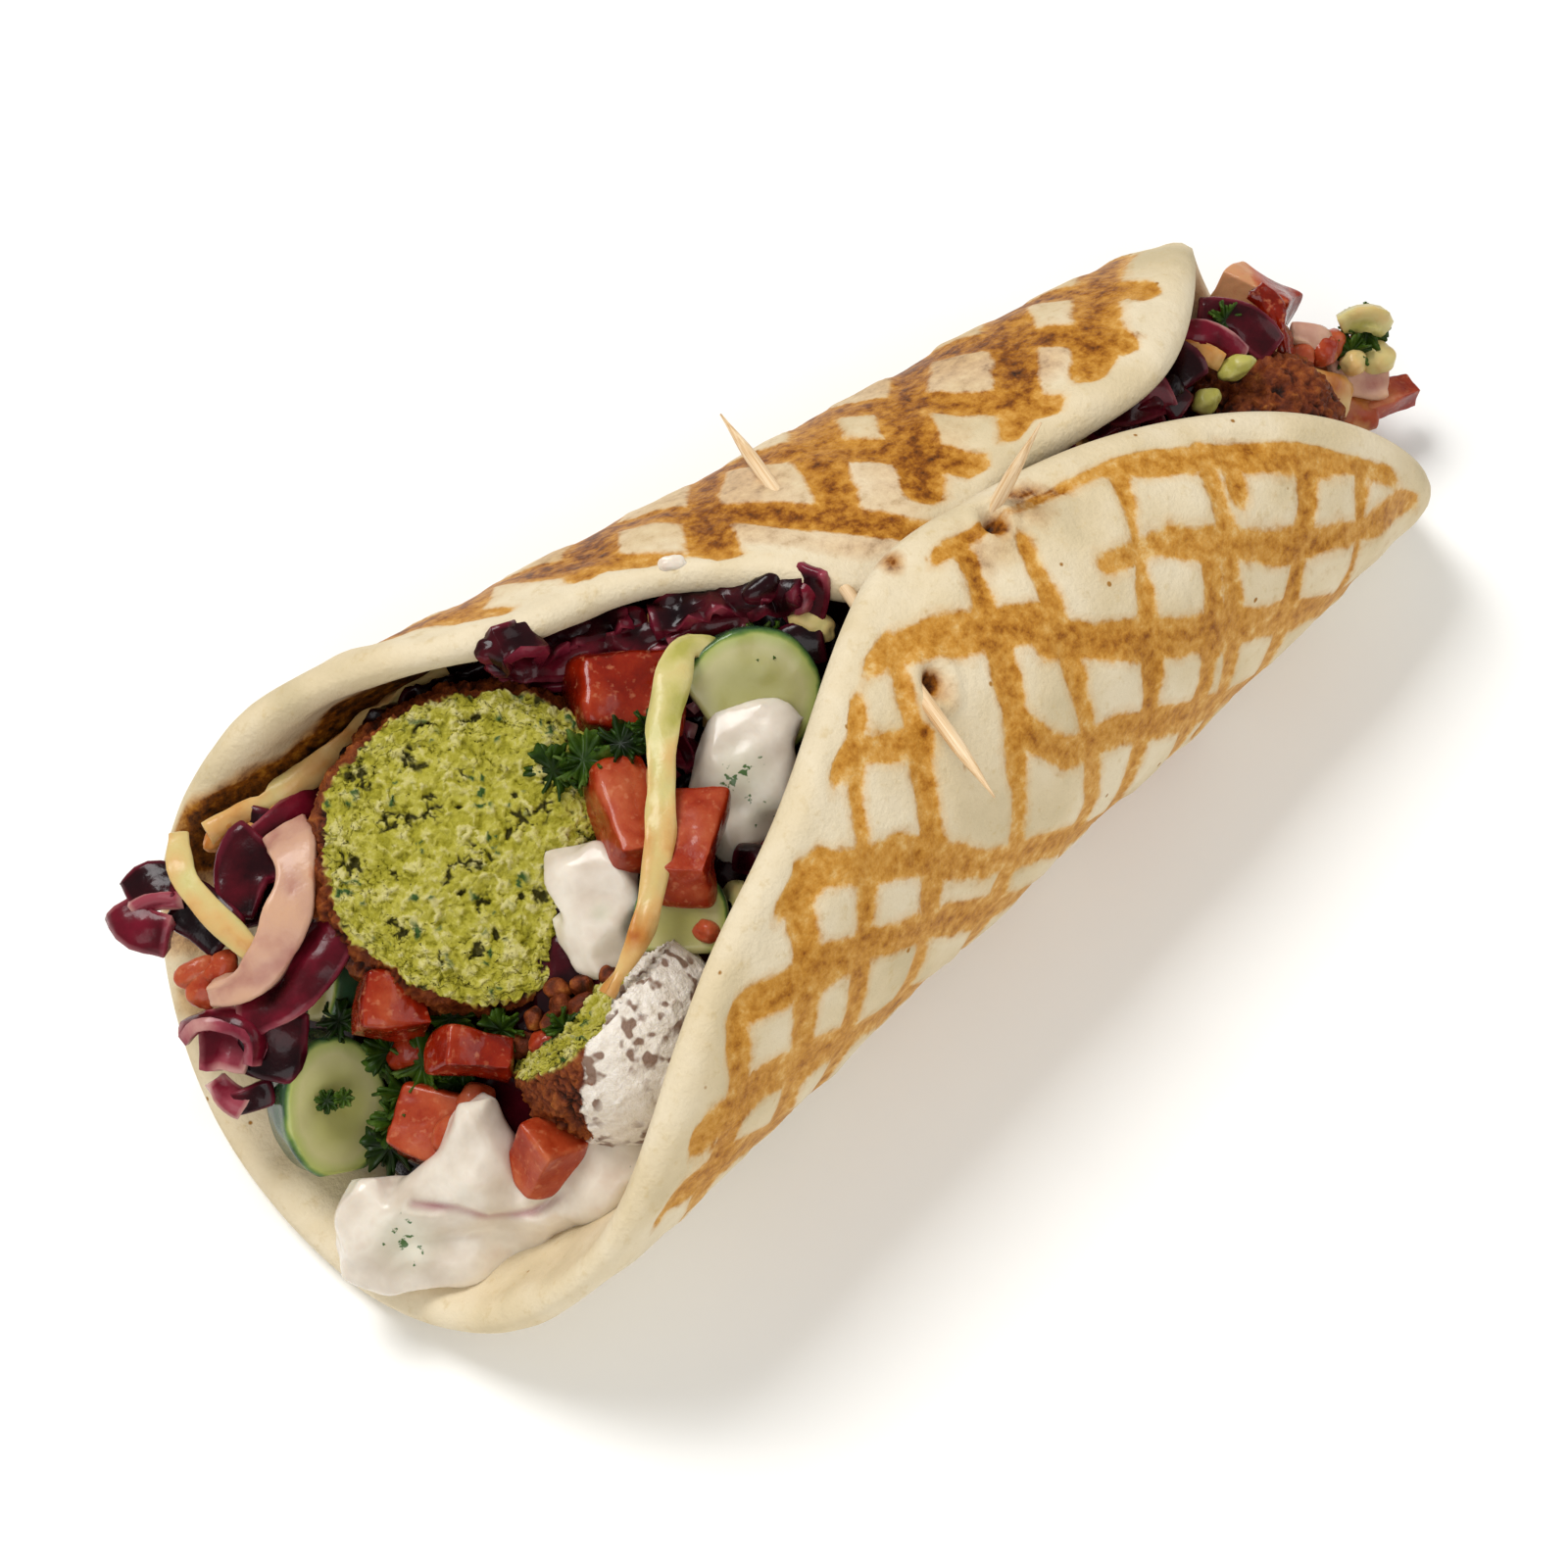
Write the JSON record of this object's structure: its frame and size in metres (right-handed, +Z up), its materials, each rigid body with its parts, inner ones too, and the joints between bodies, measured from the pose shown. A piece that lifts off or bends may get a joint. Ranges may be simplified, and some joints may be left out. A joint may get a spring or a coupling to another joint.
{
  "type": "falafel pita",
  "caption": "Round griddled flatbread folded round falafel, salad and white sauce, open at both ends and pinned shut with wooden picks.",
  "frame": {"origin": "on the surface it rests on, under the middle of the bounding box", "axes": "+X along the wrap from the wide mouth to the narrow mouth, +Y toward the under flap's side, +Z up"},
  "size_m": [0.2212, 0.0954, 0.0721],
  "materials": {
    "griddled_bread": "matt, with brown griddle bars",
    "pick_wood": "plain sanded",
    "fried_chickpea": "rough fried crust",
    "tomato": "wet",
    "cucumber": "wet",
    "yoghurt_sauce": "creamy, soft sheen",
    "mixed_salad": "wet"
  },
  "bodies": {
    "root": {"bread": "griddled_bread", "toothpick_1": "pick_wood", "toothpick_2": "pick_wood", "falafel_bitten": "fried_chickpea", "falafel_sauced": "fried_chickpea", "falafel_far": "fried_chickpea", "tomato_1": "tomato", "tomato_2": "tomato", "tomato_3": "tomato", "tomato_4": "tomato", "tomato_5": "tomato", "tomato_6": "tomato", "tomato_7": "tomato", "tomato_8": "tomato", "tomato_9": "tomato", "tomato_10": "tomato", "cucumber_1": "cucumber", "cucumber_2": "cucumber", "cucumber_3": "cucumber", "cucumber_4": "cucumber", "sauce_side": "yoghurt_sauce", "sauce_middle": "yoghurt_sauce", "sauce_front": "yoghurt_sauce", "salad": "mixed_salad"}
  },
  "joints": []
}
